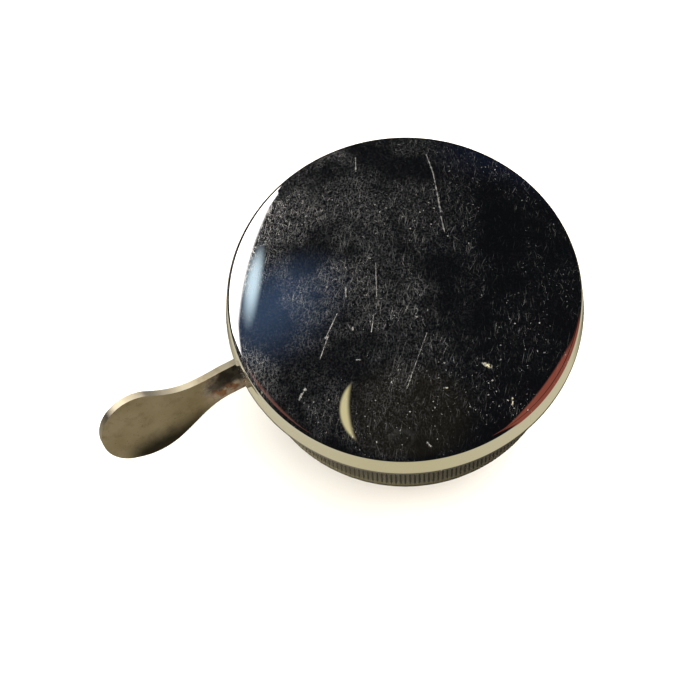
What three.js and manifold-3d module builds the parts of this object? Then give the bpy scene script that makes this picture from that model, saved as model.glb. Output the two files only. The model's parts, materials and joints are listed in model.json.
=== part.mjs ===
// Rotary bicycle bell with a thumb lever, in millimetres.
// +Z is up, along the bell's own axis. The origin is the middle of the clamp, on the axis of the
// handlebar, which runs along X. The rider is on the -Y side, and the lever sticks out towards -X.

import * as THREE from 'three';
import { mergeVertices } from 'three/addons/utils/BufferGeometryUtils.js';
import Module from 'manifold-3d';

const wasm = await Module();
wasm.setup();

// ---------- driving dimensions ----------

const GAP = 0.1;                   // between pieces that bear on each other face to face
const PLAY = 0.1;                  // radial, between a pin and what turns on it

// Handlebar and clamp
const BAR_R = 11.1;
const CLAMP_T = 1.5;
const CLAMP_W = 16;                // along the bar
const EAR_Y = 15.6;                // clamp screw, from the bar's axis
const EAR_END = 18.6;
const EAR_T = 1.5;
const EAR_SPLIT = 0.6;             // half the gap between the two clamp halves
const EAR_TOP = EAR_SPLIT + EAR_T;
const LAND_HALF = 6;               // flat land on the saddle that carries the bell
const LAND_ROOT_Z = 10.5;          // where the land's block starts, inside the arch

// Screws, washers and nuts
const M3_R = 1.5;
const M3_HOLE_R = 1.7;
const DRIVER_SLOT = { half: 0.4, deep: 0.8 };
const SUNK_HEAD_R = 3.1;           // mount screw
const SUNK_HEAD_Z = [11.4, 12.9];
const PAN_HEAD_R = 2.6;            // clamp screws
const PAN_HEAD_H = 2.2;
const SCREW_TIP_Z = 5.8;
const EDGE = 0.3;                  // chamfer on heads and posts
const FLAT_WASHER_R = 2.9;
const FLAT_WASHER_T = 0.5;
const NUT_AF = 5.5;                // across flats
const NUT_H = 2.2;
const LOCKNUT_AF = 7;
const LOCKNUT_Z = [34.8, 36.8];
const PRESSED = 0.02;              // radial, round a riveted pin

// Base cup
const FLOOR_Z = 13.7;
const FLOOR_T = 1.0;
const CUP_R = 26.4;
const CUP_WALL = 1.0;
const CUP_CORNER = 2.3;
const CUP_RIM_Z = 32.3;
const SLOT_Z = [17.4, 28.6];       // lever slot in the cup's wall
const SLOT_ANGLES = [174, 201.5];
const SLOT_FROM_R = 20;            // inside this radius the slot's cutter leaves the cup alone

// Gong dome
const APEX_Z = 42;
const LIP_Z = 31.8;
const LIP_R = 29.95;
const SHOULDER_OUT_R = 29.56;      // top of the skirt, which widens a little down to the lip
const CROWN_R = 81.5;              // radius of the shallow crown
const CORNER_R = 1.3;              // radius of the turn from the crown to the skirt
const DOME_T = 1.0;
const BOSS_R = 5;
const BOSS_Z = [36.9, 40.6];
const BOSS_BORE_TOP_Z = 40.3;
const LUG_R = 1.1;
const LUG_REACH = [23.3, 28.5];    // from the bell's axis
const LUG_Z = 33.6;

// Centre post
const POST_R = 1.9;
const FOOT_Z = FLOOR_Z + FLOOR_T + GAP;
const FOOT_R = 5;
const FOOT_TOP_Z = 19.4;
const FOOT_BORE_Z = 18.8;          // top of the mount screw's hole
const MOUNT_SCREW_TIP_Z = 18.2;
const SHOULDER_R = 2.6;
const SHOULDER_Z = 21.3;
const POST_TOP_Z = 40;

// Gear train: sector on the lever, then idler pinion and wheel, then the rotor's pinion
const MODULE = 0.8;
const SECTOR_TEETH = 34;           // a full circle's worth; six are cut
const IDLER_PINION_TEETH = 8;
const WHEEL_TEETH = 24;
const ROTOR_TEETH = 10;
const SECTOR_Z = [20.0, 21.2];
const IDLER_PINION_Z = [19.7, 21.5];
const WHEEL_Z = [21.6, 22.6];
const ROTOR_PINION_Z = [21.5, 22.9];
const TOOTH = { tip: 0.72, root: 1.0, half: 0.4, atTip: 0.45, atRoot: 1.2 };   // shares of the module
const IDLER_R = 1.2;
const IDLER_BASE_R = 2.2;
const IDLER_TOP_Z = 23.9;
const IDLER_CLIP_R = 2.5;
const IDLER_CLIP_Z = [22.9, 23.4];
const WHEEL_HOLES = { count: 5, r: 1.7, from: 5.2 };
const SLEEVE_R = 3.0;

// Thumb lever
const PRESS_ANGLE = 28;
const PIVOT = new THREE.Vector2(-17.3, -2.2);
const PIVOT_R = 1.5;
const PIVOT_BASE_R = 2.3;
const PIVOT_TOP_Z = 22.4;
const LEVER_CLIP_R = 2.9;
const LEVER_CLIP_Z = [21.5, 22.1];
const HUB_R = 3.4;
const ARM = { from: 3.2, to: 9.4, spread: 18 };      // radii from the pivot, half angle at the end
const BLADE_HEADING = 207;         // degrees from +X, looking down
const BLADE_LEAN = 20;             // the top edge leans away from the rider
const BLADE_T = 1.35;
const BLADE_REACH = 26.5;          // where the neck starts, along the heading from the bell's axis
const BLADE_OFFSET = 6.2;          // of the blade's line from the bell's axis
const BLADE_Z = 22.8;
const NECK_HALF = 3.1;
const NECK_S = [-5.6, 5];          // start and end of the neck, along the blade
const PADDLE = { s: 21.6, t: -0.2, a: 6.7, b: 7.1 };  // centre along and across, half axes
const PADDLE_ROUND = [-66, 118];    // the angles between which the paddle is an ellipse
const LOWER_FLARE = [12.2, -3.2, 15.6, -10.8];           // bends of the neck's edges into the paddle
const UPPER_FLARE = [13.1, 2.4, 10.1, 2.8];

// Lever spring and the pin that it pulls against
const COIL_R = 3.1;
const COIL_WIRE_R = 0.35;
const COIL_TURNS = 3.25;
const COIL_Z = [15.4, 18.9];
const COIL_START = 300;            // degrees
const COIL_LEGS = [5, 4.5];
const COIL_STEPS = 48;
const ANCHOR_R = 0.9;
const ANCHOR_TOP_Z = 17.4;
const ANCHOR_FROM_PIVOT = { r: 6.6, angle: 262 };

// Striker
const BAR_Z = [32.4, 33.6];
const STRIKER_R = 16.5;            // pins, from the bell's axis
const WASHER_R = 6;
const WASHER_HOLE_R = 2.3;
const WASHER_Z = [33.9, 35.5];
const WASHER_LIFT = 0.3;           // play above a washer
const STRIKER_PIN_R = 1.3;
const STRIKER_HEAD_R = 3.2;
const STRIKER_HEAD_H = 0.6;
const STRIKER_FOOT = 0.5;          // how far a pin stands out below the bar
const BAR_END_R = 3;
const BAR_MIDDLE_R = 4.6;
const BAR_MIDDLE_HALF = 40;        // half the angle of the bar's round middle, each side
const ROTOR_CLIP_R = 3.6;
const ROTOR_CLIP_Z = [33.9, 34.5];

// How finely round things are cut
const SHELL_SIDES = 80;
const DOME_SIDES = 72;
const CLAMP_SIDES = 64;
const ROUND_SIDES = 32;
const SMALL_SIDES = 24;
const TINY_SIDES = 16;
const BEYOND = 1;                  // a cutter runs this far past the faces it cuts

const DEG = Math.PI / 180;
const polar = (r, degrees) => new THREE.Vector2(r, 0).rotateAround(new THREE.Vector2(), degrees * DEG);
const pitchRadius = (teeth) => MODULE * teeth / 2;

// The idler axle lies where both pairs of gears mesh.
const PIVOT_DISTANCE = PIVOT.length();
const TO_IDLER = pitchRadius(SECTOR_TEETH) + pitchRadius(IDLER_PINION_TEETH);
const TO_ROTOR = pitchRadius(WHEEL_TEETH) + pitchRadius(ROTOR_TEETH);
const PIVOT_TO_AXIS = Math.atan2(-PIVOT.y, -PIVOT.x) / DEG;
const TURN_AT_PIVOT = Math.acos(
  (PIVOT_DISTANCE ** 2 + TO_IDLER ** 2 - TO_ROTOR ** 2) / (2 * PIVOT_DISTANCE * TO_IDLER)) / DEG;
const MESH_1 = PIVOT_TO_AXIS + TURN_AT_PIVOT;      // direction from the pivot to the idler
const IDLER = PIVOT.clone().add(polar(TO_IDLER, MESH_1));
const MESH_2 = Math.atan2(-IDLER.y, -IDLER.x) / DEG;   // direction from the idler to the axis

// ---------- materials ----------

const metal = (color, roughness, metalness = 1) =>
  new THREE.MeshStandardMaterial({ color, roughness, metalness });
const finishes = {
  chrome: metal(0xb9bcc0, 0.06),
  nickel: metal(0x9c9484, 0.38),
  satin: metal(0x8e8675, 0.42),
  steel: metal(0x7f8083, 0.45),
  zinc: metal(0x9da0a0, 0.4),
  brass: metal(0xb08d4a, 0.35),
  spring: metal(0x4a4a4c, 0.35),
};

// ---------- solids ----------

// A closed geometry as a manifold solid, whichever way round its faces were made.
function solid(geometry) {
  const bare = geometry.index ? geometry.toNonIndexed() : geometry.clone();
  bare.deleteAttribute('normal');
  bare.deleteAttribute('uv');
  const merged = mergeVertices(bare, 1e-4);
  const p = merged.attributes.position.array;
  const kept = [];
  let volume = 0;
  const index = merged.index.array;
  for (let i = 0; i < index.length; i += 3) {
    const [a, b, c] = [index[i], index[i + 1], index[i + 2]];
    if (a === b || b === c || c === a) continue;
    kept.push(a, b, c);
    const [va, vb, vc] = [a, b, c].map((k) => new THREE.Vector3(p[3 * k], p[3 * k + 1], p[3 * k + 2]));
    volume += va.dot(vb.cross(vc));
  }
  if (volume < 0) kept.reverse();
  const mesh = new wasm.Mesh({
    numProp: 3, vertProperties: new Float32Array(p), triVerts: new Uint32Array(kept),
  });
  return new wasm.Manifold(mesh);
}

function geometryOf(body) {
  const mesh = body.getMesh();
  const geometry = new THREE.BufferGeometry();
  const positions = new Float32Array(mesh.vertProperties);
  geometry.setAttribute('position', new THREE.BufferAttribute(positions, 3));
  geometry.setIndex(new THREE.BufferAttribute(new Uint32Array(mesh.triVerts), 1));
  geometry.computeVertexNormals();
  return geometry;
}

// A solid of revolution about Z from [radius, z] pairs that start and end on the axis.
function turned(profile, segments = ROUND_SIDES) {
  const points = profile.map(([r, z]) => new THREE.Vector2(r, z));
  return solid(new THREE.LatheGeometry(points, segments).rotateX(Math.PI / 2));
}

function rod(radius, z0, z1, segments = ROUND_SIDES) {
  return turned([[0, z0], [radius, z0], [radius, z1], [0, z1]], segments);
}

// A cutter for a round hole right through whatever lies between two heights.
function hole(radius, z0, z1, segments = SMALL_SIDES) {
  return rod(radius, z0 - BEYOND, z1 + BEYOND, segments);
}

function ring(outer, inner, z0, z1, segments = SMALL_SIDES) {
  return rod(outer, z0, z1, segments).subtract(hole(inner, z0, z1, segments));
}

function box(x0, x1, y0, y1, z0, z1) {
  const geometry = new THREE.BoxGeometry(x1 - x0, y1 - y0, z1 - z0);
  return solid(geometry.translate((x0 + x1) / 2, (y0 + y1) / 2, (z0 + z1) / 2));
}

// A flat plate of the given outline, between two heights.
function plate(outline, z0, z1) {
  const settings = { depth: z1 - z0, bevelEnabled: false };
  return solid(new THREE.ExtrudeGeometry(new THREE.Shape(outline), settings).translate(0, 0, z0));
}

function at(body, spot) {
  return body.translate([spot.x, spot.y, 0]);
}

// A rod along the bar's direction, for the clamp's bore and its outside.
function barRod(radius, length) {
  return rod(radius, -length / 2, length / 2, CLAMP_SIDES).rotate([0, 90, 0]);
}

function hexagon(acrossFlats, z0, z1) {
  const corner = acrossFlats / Math.sqrt(3);
  return turned([[0, z0], [corner, z0], [corner, z1], [0, z1]], 6);
}

// ---------- gears ----------

// Outline of a gear's teeth from one index to another; the first tooth stands at the start angle.
function toothOutline(teeth, startAngle, first, last) {
  const radius = pitchRadius(teeth);
  const tip = radius + TOOTH.tip * MODULE;
  const root = radius - TOOTH.root * MODULE;
  const half = TOOTH.half * MODULE * Math.PI / 2 / radius;      // half a tooth at the pitch circle
  const tipHalf = half * TOOTH.atTip;
  const rootHalf = half * TOOTH.atRoot;
  const points = [];
  for (let i = first; i <= last; i += 1) {
    const middle = startAngle * DEG + i * 2 * Math.PI / teeth;
    for (const [r, turn] of [[root, -rootHalf], [radius, -half], [tip, -tipHalf],
      [tip, tipHalf], [radius, half], [root, rootHalf]]) {
      points.push(new THREE.Vector2(r * Math.cos(middle + turn), r * Math.sin(middle + turn)));
    }
  }
  return points;
}

function gear(teeth, startAngle, z, bore) {
  const blank = plate(toothOutline(teeth, startAngle, 0, teeth - 1), z[0], z[1]);
  return blank.subtract(hole(bore, ...z));
}

// ---------- the bell's shell ----------

// Points of the dome's outer face from the axis to the lip, or of its inner face when inset.
function domeFace(inset) {
  const crown = CROWN_R - inset;
  const corner = CORNER_R - inset;
  const cornerX = SHOULDER_OUT_R - CORNER_R;
  const centreZ = APEX_Z - CROWN_R;
  const meet = Math.asin(cornerX / (CROWN_R - CORNER_R));
  const cornerZ = centreZ + (CROWN_R - CORNER_R) * Math.cos(meet);
  const points = [];
  const crownSteps = 9;
  for (let i = 0; i <= crownSteps; i += 1) {
    const angle = meet * i / crownSteps;
    points.push([crown * Math.sin(angle), centreZ + crown * Math.cos(angle)]);
  }
  const cornerSteps = 5;
  for (let i = 1; i <= cornerSteps; i += 1) {
    const angle = meet + (Math.PI / 2 - meet) * i / cornerSteps;
    points.push([cornerX + corner * Math.sin(angle), cornerZ + corner * Math.cos(angle)]);
  }
  points.push([LIP_R - inset, LIP_Z]);
  return points;
}

function dome() {
  return turned([...domeFace(0), ...domeFace(DOME_T).reverse()], DOME_SIDES);
}

// A threaded boss under the crown, blind at the top, that screws onto the centre post.
function domeBoss() {
  const [low, top] = BOSS_Z;
  const bore = POST_R + PLAY;
  return turned([
    [0, top], [BOSS_R, top], [BOSS_R, low], [bore, low], [bore, BOSS_BORE_TOP_Z], [0, BOSS_BORE_TOP_Z],
  ]);
}

// Short studs on the dome's wall that the loose washers strike.
function domeLug(angle) {
  const lug = rod(LUG_R, ...LUG_REACH, TINY_SIDES).rotate([0, 90, 0]).rotate([0, 0, angle]);
  return lug.translate([0, 0, LUG_Z]);
}

function baseCup() {
  const corner = (r, x, z, steps) => Array.from({ length: steps + 1 }, (_, i) => {
    const angle = Math.PI / 2 * i / steps;
    return [x + r * Math.sin(angle), z - r * Math.cos(angle)];
  });
  const cornerX = CUP_R - CUP_CORNER;
  const cornerZ = FLOOR_Z + CUP_CORNER;
  const outer = corner(CUP_CORNER, cornerX, cornerZ, 5);
  const inner = corner(CUP_CORNER - CUP_WALL, cornerX, cornerZ, 3).reverse();
  const shell = turned([
    [0, FLOOR_Z], ...outer, [CUP_R, CUP_RIM_Z], [CUP_R - CUP_WALL, CUP_RIM_Z], ...inner,
    [0, FLOOR_Z + FLOOR_T],
  ], SHELL_SIDES);
  const slotEdges = SLOT_ANGLES.map((angle) => polar(1.5 * CUP_R, angle));
  const slot = plate([polar(0, 0), ...slotEdges], ...SLOT_Z)
    .subtract(hole(SLOT_FROM_R, ...SLOT_Z, ROUND_SIDES));
  return shell.subtract(slot).subtract(hole(M3_HOLE_R, FLOOR_Z, FLOOR_Z + FLOOR_T));
}

// ---------- post and its fasteners ----------

function centrePost() {
  const outside = turned([
    [0, FOOT_Z], [FOOT_R, FOOT_Z], [FOOT_R, FOOT_TOP_Z], [SHOULDER_R, FOOT_TOP_Z],
    [SHOULDER_R, SHOULDER_Z], [POST_R, SHOULDER_Z], [POST_R, POST_TOP_Z - EDGE],
    [POST_R - EDGE, POST_TOP_Z], [0, POST_TOP_Z],
  ]);
  return outside.subtract(rod(M3_HOLE_R, FOOT_Z - BEYOND, FOOT_BORE_Z, SMALL_SIDES));
}

// A cutter for a driver slot in a head that faces down.
function driverSlot(headZ) {
  const { half, deep } = DRIVER_SLOT;
  return box(-SUNK_HEAD_R - BEYOND, SUNK_HEAD_R + BEYOND, -half, half, headZ - BEYOND, headZ + deep);
}

function mountScrew() {
  const [low, neck] = SUNK_HEAD_Z;
  return turned([
    [0, low], [SUNK_HEAD_R, low], [M3_R, neck], [M3_R, MOUNT_SCREW_TIP_Z], [0, MOUNT_SCREW_TIP_Z],
  ], SMALL_SIDES).subtract(driverSlot(low));
}

// ---------- lever ----------

// The lever's blade as a spoon outline: along the heading, and up the leaning blade.
function bladeOutline() {
  const [rootS, neckS] = NECK_S;
  const { s, t, a, b } = PADDLE;
  const [start, end] = PADDLE_ROUND.map((angle) => angle * DEG);
  const shape = new THREE.Shape();
  const onPaddle = (angle) => [s + a * Math.cos(angle), t + b * Math.sin(angle)];
  shape.moveTo(rootS, -NECK_HALF);
  shape.lineTo(neckS, -NECK_HALF);
  shape.bezierCurveTo(...LOWER_FLARE, ...onPaddle(start));
  shape.absellipse(s, t, a, b, start, end, false, 0);
  shape.bezierCurveTo(...UPPER_FLARE, neckS, NECK_HALF);
  shape.lineTo(rootS, NECK_HALF);
  shape.closePath();
  return shape;
}

function blade() {
  const heading = new THREE.Vector3(...polar(1, BLADE_HEADING), 0);
  const side = new THREE.Vector3(-heading.y, heading.x, 0);        // towards the rider
  const lean = BLADE_LEAN * DEG;
  const up = new THREE.Vector3(0, 0, Math.cos(lean)).addScaledVector(side, -Math.sin(lean));
  const through = new THREE.Vector3().crossVectors(heading, up);
  const place = new THREE.Matrix4().makeBasis(heading, up, through);
  const start = heading.clone().multiplyScalar(BLADE_REACH).addScaledVector(side, -BLADE_OFFSET);
  place.setPosition(start.x, start.y, BLADE_Z);
  const geometry = new THREE.ExtrudeGeometry(bladeOutline(), {
    depth: BLADE_T, bevelEnabled: false, curveSegments: 20,
  });
  return solid(geometry.translate(0, 0, -BLADE_T / 2).applyMatrix4(place));
}

// The toothed fan, with half a tooth space to spare at each end and its corners inside the hub.
function leverSector() {
  const step = 360 / SECTOR_TEETH;
  const first = -1;
  const last = Math.ceil(PRESS_ANGLE / step) + 1;
  const teeth = toothOutline(SECTOR_TEETH, MESH_1, first, last);
  const root = pitchRadius(SECTOR_TEETH) - MODULE;
  const [start, end] = [MESH_1 + (first - 0.5) * step, MESH_1 + (last + 0.5) * step];
  return plate([
    polar(PIVOT_R, MESH_1 - 90), polar(root, start), ...teeth, polar(root, end),
    polar(PIVOT_R + 1, end + 60),
  ], ...SECTOR_Z);
}

function thumbLever() {
  const hub = rod(HUB_R, ...SECTOR_Z);
  const arm = plate([
    polar(ARM.from, BLADE_HEADING + 90), polar(ARM.from, BLADE_HEADING - 90),
    polar(ARM.to, BLADE_HEADING - ARM.spread), polar(ARM.to, BLADE_HEADING + ARM.spread),
  ], ...SECTOR_Z);
  const flat = hub.add(leverSector()).add(arm).subtract(hole(PIVOT_R + PLAY, ...SECTOR_Z));
  return at(flat, PIVOT).add(blade());
}

function leverPivot() {
  const seat = SECTOR_Z[0] - GAP;
  return at(turned([
    [0, FOOT_Z], [PIVOT_BASE_R, FOOT_Z], [PIVOT_BASE_R, seat], [PIVOT_R, seat],
    [PIVOT_R, PIVOT_TOP_Z], [0, PIVOT_TOP_Z],
  ], SMALL_SIDES), PIVOT);
}

// The return spring: a coil round the lever's pivot with two straight legs.
function leverSpring() {
  const [z0, z1] = COIL_Z;
  const onCoil = (share) => COIL_START * DEG + COIL_TURNS * 2 * Math.PI * share;
  const point = (share) => {
    const angle = onCoil(share);
    return new THREE.Vector3(
      COIL_R * Math.cos(angle), COIL_R * Math.sin(angle), z0 + (z1 - z0) * share);
  };
  const legEnd = (share, length) => {
    const angle = onCoil(share);
    return point(share).add(new THREE.Vector3(-Math.sin(angle) * length, Math.cos(angle) * length, 0));
  };
  const coil = Array.from({ length: COIL_STEPS + 1 }, (_, i) => point(i / COIL_STEPS));
  const path = new THREE.CatmullRomCurve3(
    [legEnd(0, -COIL_LEGS[0]), ...coil, legEnd(1, COIL_LEGS[1])], false, 'centripetal');
  const section = new THREE.Shape(Array.from({ length: 6 }, (_, i) => polar(COIL_WIRE_R, i * 60)));
  return at(solid(new THREE.ExtrudeGeometry(section, { steps: 64, extrudePath: path })), PIVOT);
}

function springAnchor() {
  const { r, angle } = ANCHOR_FROM_PIVOT;
  return at(rod(ANCHOR_R, FOOT_Z, ANCHOR_TOP_Z, TINY_SIDES), PIVOT.clone().add(polar(r, angle)));
}

// ---------- idler and rotor ----------

function idlerAxle() {
  const seat = IDLER_PINION_Z[0] - GAP;
  return at(turned([
    [0, FOOT_Z], [IDLER_BASE_R, FOOT_Z], [IDLER_BASE_R, seat], [IDLER_R, seat],
    [IDLER_R, IDLER_TOP_Z], [0, IDLER_TOP_Z],
  ], SMALL_SIDES), IDLER);
}

function idlerPinion() {
  const gapAngle = MESH_1 + 180 + 180 / IDLER_PINION_TEETH;
  return at(gear(IDLER_PINION_TEETH, gapAngle, IDLER_PINION_Z, IDLER_R + PLAY), IDLER);
}

// The wheel is lightened by round holes.
function idlerWheel() {
  let wheel = gear(WHEEL_TEETH, MESH_2, WHEEL_Z, IDLER_R + PLAY);
  const { count, r, from } = WHEEL_HOLES;
  for (let i = 0; i < count; i += 1) {
    wheel = wheel.subtract(at(hole(r, ...WHEEL_Z, TINY_SIDES), polar(from, i * 360 / count)));
  }
  return at(wheel, IDLER);
}

function rotorPinion() {
  const gapAngle = MESH_2 + 180 + 180 / ROTOR_TEETH;
  const teeth = gear(ROTOR_TEETH, gapAngle, ROTOR_PINION_Z, POST_R + PLAY);
  return teeth.add(ring(SLEEVE_R, POST_R + PLAY, ROTOR_PINION_Z[0], BAR_Z[0] - GAP));
}

function strikerBar() {
  const shape = new THREE.Shape();
  for (const turn of [0, 180]) {
    const end = polar(STRIKER_R, turn);
    const middle = turn + 90;
    shape.absarc(end.x, end.y, BAR_END_R, (turn - 90) * DEG, middle * DEG, false);
    shape.absarc(0, 0, BAR_MIDDLE_R, (middle - BAR_MIDDLE_HALF) * DEG,
      (middle + BAR_MIDDLE_HALF) * DEG, false);
  }
  const geometry = new THREE.ExtrudeGeometry(shape, {
    depth: BAR_Z[1] - BAR_Z[0], bevelEnabled: false, curveSegments: 8,
  });
  let bar = solid(geometry.translate(0, 0, BAR_Z[0])).subtract(hole(POST_R + PLAY, ...BAR_Z));
  for (const side of [1, -1]) {
    const pinHole = hole(STRIKER_PIN_R + PRESSED, ...BAR_Z);
    bar = bar.subtract(pinHole.translate([side * STRIKER_R, 0, 0]));
  }
  return bar;
}

function strikerPin(side) {
  const low = BAR_Z[0] - STRIKER_FOOT;
  const head = WASHER_Z[1] + WASHER_LIFT;
  const top = head + STRIKER_HEAD_H;
  return turned([
    [0, low], [STRIKER_PIN_R, low], [STRIKER_PIN_R, head], [STRIKER_HEAD_R, head],
    [STRIKER_HEAD_R, top - EDGE], [STRIKER_HEAD_R - EDGE, top], [0, top],
  ], SMALL_SIDES).translate([side * STRIKER_R, 0, 0]);
}

function strikerWasher(side) {
  return ring(WASHER_R, WASHER_HOLE_R, ...WASHER_Z).translate([side * STRIKER_R, 0, 0]);
}

// ---------- clamp ----------

function ears(z0, z1) {
  const flat = box(-CLAMP_W / 2, CLAMP_W / 2, -EAR_END, EAR_END, z0, z1);
  const screwHole = (side) => hole(M3_HOLE_R, z0, z1).translate([0, side * EAR_Y, 0]);
  return flat.subtract(screwHole(1)).subtract(screwHole(-1));
}

// The arch over the bar and its two ears; the other half is this one turned half round the bar.
function clampHalf() {
  const width = CLAMP_W / 2;
  const above = box(-width, width, -EAR_END, EAR_END, EAR_SPLIT, EAR_END);
  return barRod(BAR_R + CLAMP_T, CLAMP_W).intersect(above).add(ears(EAR_SPLIT, EAR_TOP));
}

function clampSaddle() {
  const land = box(-CLAMP_W / 2, CLAMP_W / 2, -LAND_HALF, LAND_HALF, LAND_ROOT_Z, FLOOR_Z - GAP);
  const [low, neck] = SUNK_HEAD_Z;
  const wide = SUNK_HEAD_R + 4 * GAP;
  const sunk = turned([
    [0, LAND_ROOT_Z - BEYOND], [wide, LAND_ROOT_Z - BEYOND], [wide, low - GAP],
    [M3_HOLE_R, neck + GAP / 2], [M3_HOLE_R, FLOOR_Z + BEYOND], [0, FLOOR_Z + BEYOND],
  ], SMALL_SIDES);
  return clampHalf().add(land).subtract(barRod(BAR_R, CLAMP_W + 2 * BEYOND)).subtract(sunk);
}

function clampStrap() {
  return clampHalf().rotate([180, 0, 0]).subtract(barRod(BAR_R, CLAMP_W + 2 * BEYOND));
}

// The screws go in from below, heads under the strap's ears.
function clampScrew(side) {
  const low = -EAR_TOP - PAN_HEAD_H;
  const seat = -EAR_TOP - GAP;
  const screw = turned([
    [0, low], [PAN_HEAD_R - EDGE, low], [PAN_HEAD_R, low + EDGE], [PAN_HEAD_R, seat],
    [M3_R, seat], [M3_R, SCREW_TIP_Z], [0, SCREW_TIP_Z],
  ], SMALL_SIDES).subtract(driverSlot(low));
  return screw.translate([0, side * EAR_Y, 0]);
}

function clampWasher(side) {
  const z = EAR_TOP + GAP;
  return ring(FLAT_WASHER_R, M3_HOLE_R, z, z + FLAT_WASHER_T).translate([0, side * EAR_Y, 0]);
}

function hexNut(acrossFlats, boltR, z0, z1) {
  return hexagon(acrossFlats, z0, z1).subtract(hole(boltR + PLAY, z0, z1));
}

function clampNut(side) {
  const z = EAR_TOP + FLAT_WASHER_T + 2 * GAP;
  return hexNut(NUT_AF, M3_R, z, z + NUT_H).translate([0, side * EAR_Y, 0]);
}

// ---------- assembly ----------

const bell = new THREE.Group();

function add(name, body, finish) {
  const mesh = new THREE.Mesh(geometryOf(body), finishes[finish]);
  mesh.name = name;
  bell.add(mesh);
}

add('dome', dome(), 'chrome');
add('dome_boss', domeBoss(), 'brass');
add('dome_lug_1', domeLug(90), 'steel');
add('dome_lug_2', domeLug(270), 'steel');
add('base_cup', baseCup(), 'nickel');
add('centre_post', centrePost(), 'steel');
add('post_locknut', hexNut(LOCKNUT_AF, POST_R, ...LOCKNUT_Z), 'zinc');
add('rotor_clip', ring(ROTOR_CLIP_R, POST_R + PLAY, ...ROTOR_CLIP_Z), 'spring');
add('mount_screw', mountScrew(), 'zinc');
add('lever_pivot', leverPivot(), 'steel');
add('lever_clip', at(ring(LEVER_CLIP_R, PIVOT_R + PLAY, ...LEVER_CLIP_Z), PIVOT), 'spring');
add('lever_spring', leverSpring(), 'spring');
add('spring_anchor', springAnchor(), 'steel');
add('thumb_lever', thumbLever(), 'satin');
add('idler_axle', idlerAxle(), 'steel');
add('idler_pinion', idlerPinion(), 'brass');
add('idler_wheel', idlerWheel(), 'brass');
add('idler_clip', at(ring(IDLER_CLIP_R, IDLER_R + PLAY, ...IDLER_CLIP_Z), IDLER), 'spring');
add('rotor_pinion', rotorPinion(), 'brass');
add('striker_bar', strikerBar(), 'zinc');
add('clamp_saddle', clampSaddle(), 'nickel');
add('clamp_strap', clampStrap(), 'nickel');
[1, -1].forEach((side, i) => {
  add(`striker_pin_${i + 1}`, strikerPin(side), 'steel');
  add(`striker_washer_${i + 1}`, strikerWasher(side), 'zinc');
  add(`clamp_screw_${i + 1}`, clampScrew(side), 'zinc');
  add(`clamp_washer_${i + 1}`, clampWasher(side), 'zinc');
  add(`clamp_nut_${i + 1}`, clampNut(side), 'zinc');
});

export default bell;
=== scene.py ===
"""A worn rotary bicycle bell: a polished gong dome on a ribbed cup, with a spoon-shaped thumb lever."""
import json
import math

import bmesh
import bpy
from mathutils import Matrix, Vector


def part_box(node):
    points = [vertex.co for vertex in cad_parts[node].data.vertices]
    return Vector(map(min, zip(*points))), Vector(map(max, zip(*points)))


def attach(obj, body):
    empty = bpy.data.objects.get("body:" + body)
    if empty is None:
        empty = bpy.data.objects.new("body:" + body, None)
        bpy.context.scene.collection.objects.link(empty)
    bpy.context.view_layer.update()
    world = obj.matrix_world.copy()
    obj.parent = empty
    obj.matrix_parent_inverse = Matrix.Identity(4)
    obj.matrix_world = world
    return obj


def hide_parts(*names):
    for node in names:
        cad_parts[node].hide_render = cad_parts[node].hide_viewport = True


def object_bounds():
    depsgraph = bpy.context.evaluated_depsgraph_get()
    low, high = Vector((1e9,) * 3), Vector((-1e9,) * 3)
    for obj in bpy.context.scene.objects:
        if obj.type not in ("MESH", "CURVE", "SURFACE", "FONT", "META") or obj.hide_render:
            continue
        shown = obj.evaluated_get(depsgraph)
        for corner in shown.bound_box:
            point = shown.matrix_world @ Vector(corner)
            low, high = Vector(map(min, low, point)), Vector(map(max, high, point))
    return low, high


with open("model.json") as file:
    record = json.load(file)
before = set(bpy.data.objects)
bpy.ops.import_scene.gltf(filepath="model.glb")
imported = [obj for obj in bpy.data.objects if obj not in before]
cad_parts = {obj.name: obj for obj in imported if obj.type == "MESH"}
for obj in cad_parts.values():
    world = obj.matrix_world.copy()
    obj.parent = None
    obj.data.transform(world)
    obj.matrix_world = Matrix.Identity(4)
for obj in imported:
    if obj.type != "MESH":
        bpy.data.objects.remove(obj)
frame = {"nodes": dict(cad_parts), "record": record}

MM = 0.001
CAD_BOX = [list(corner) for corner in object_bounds()]
SLOT_OF = {part["node"]: part["material_slot"] for part in frame["record"]["subparts"]}
BODY_OF = {node: body for body, nodes in frame["record"]["behaviour"]["bodies"].items() for node in nodes}

# ---------- places taken from the frame ----------

dome_low, dome_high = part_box("dome")
cup_low, cup_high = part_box("base_cup")
LIP_R = dome_high.x
LIP_Z = dome_low.z
APEX_Z = dome_high.z
CUP_R = cup_high.x
FLOOR_Z = cup_low.z
RIM_Z = cup_high.z
STAND_Z = CAD_BOX[0][2]

# ---------- shapes that the solids only hint at ----------

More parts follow.
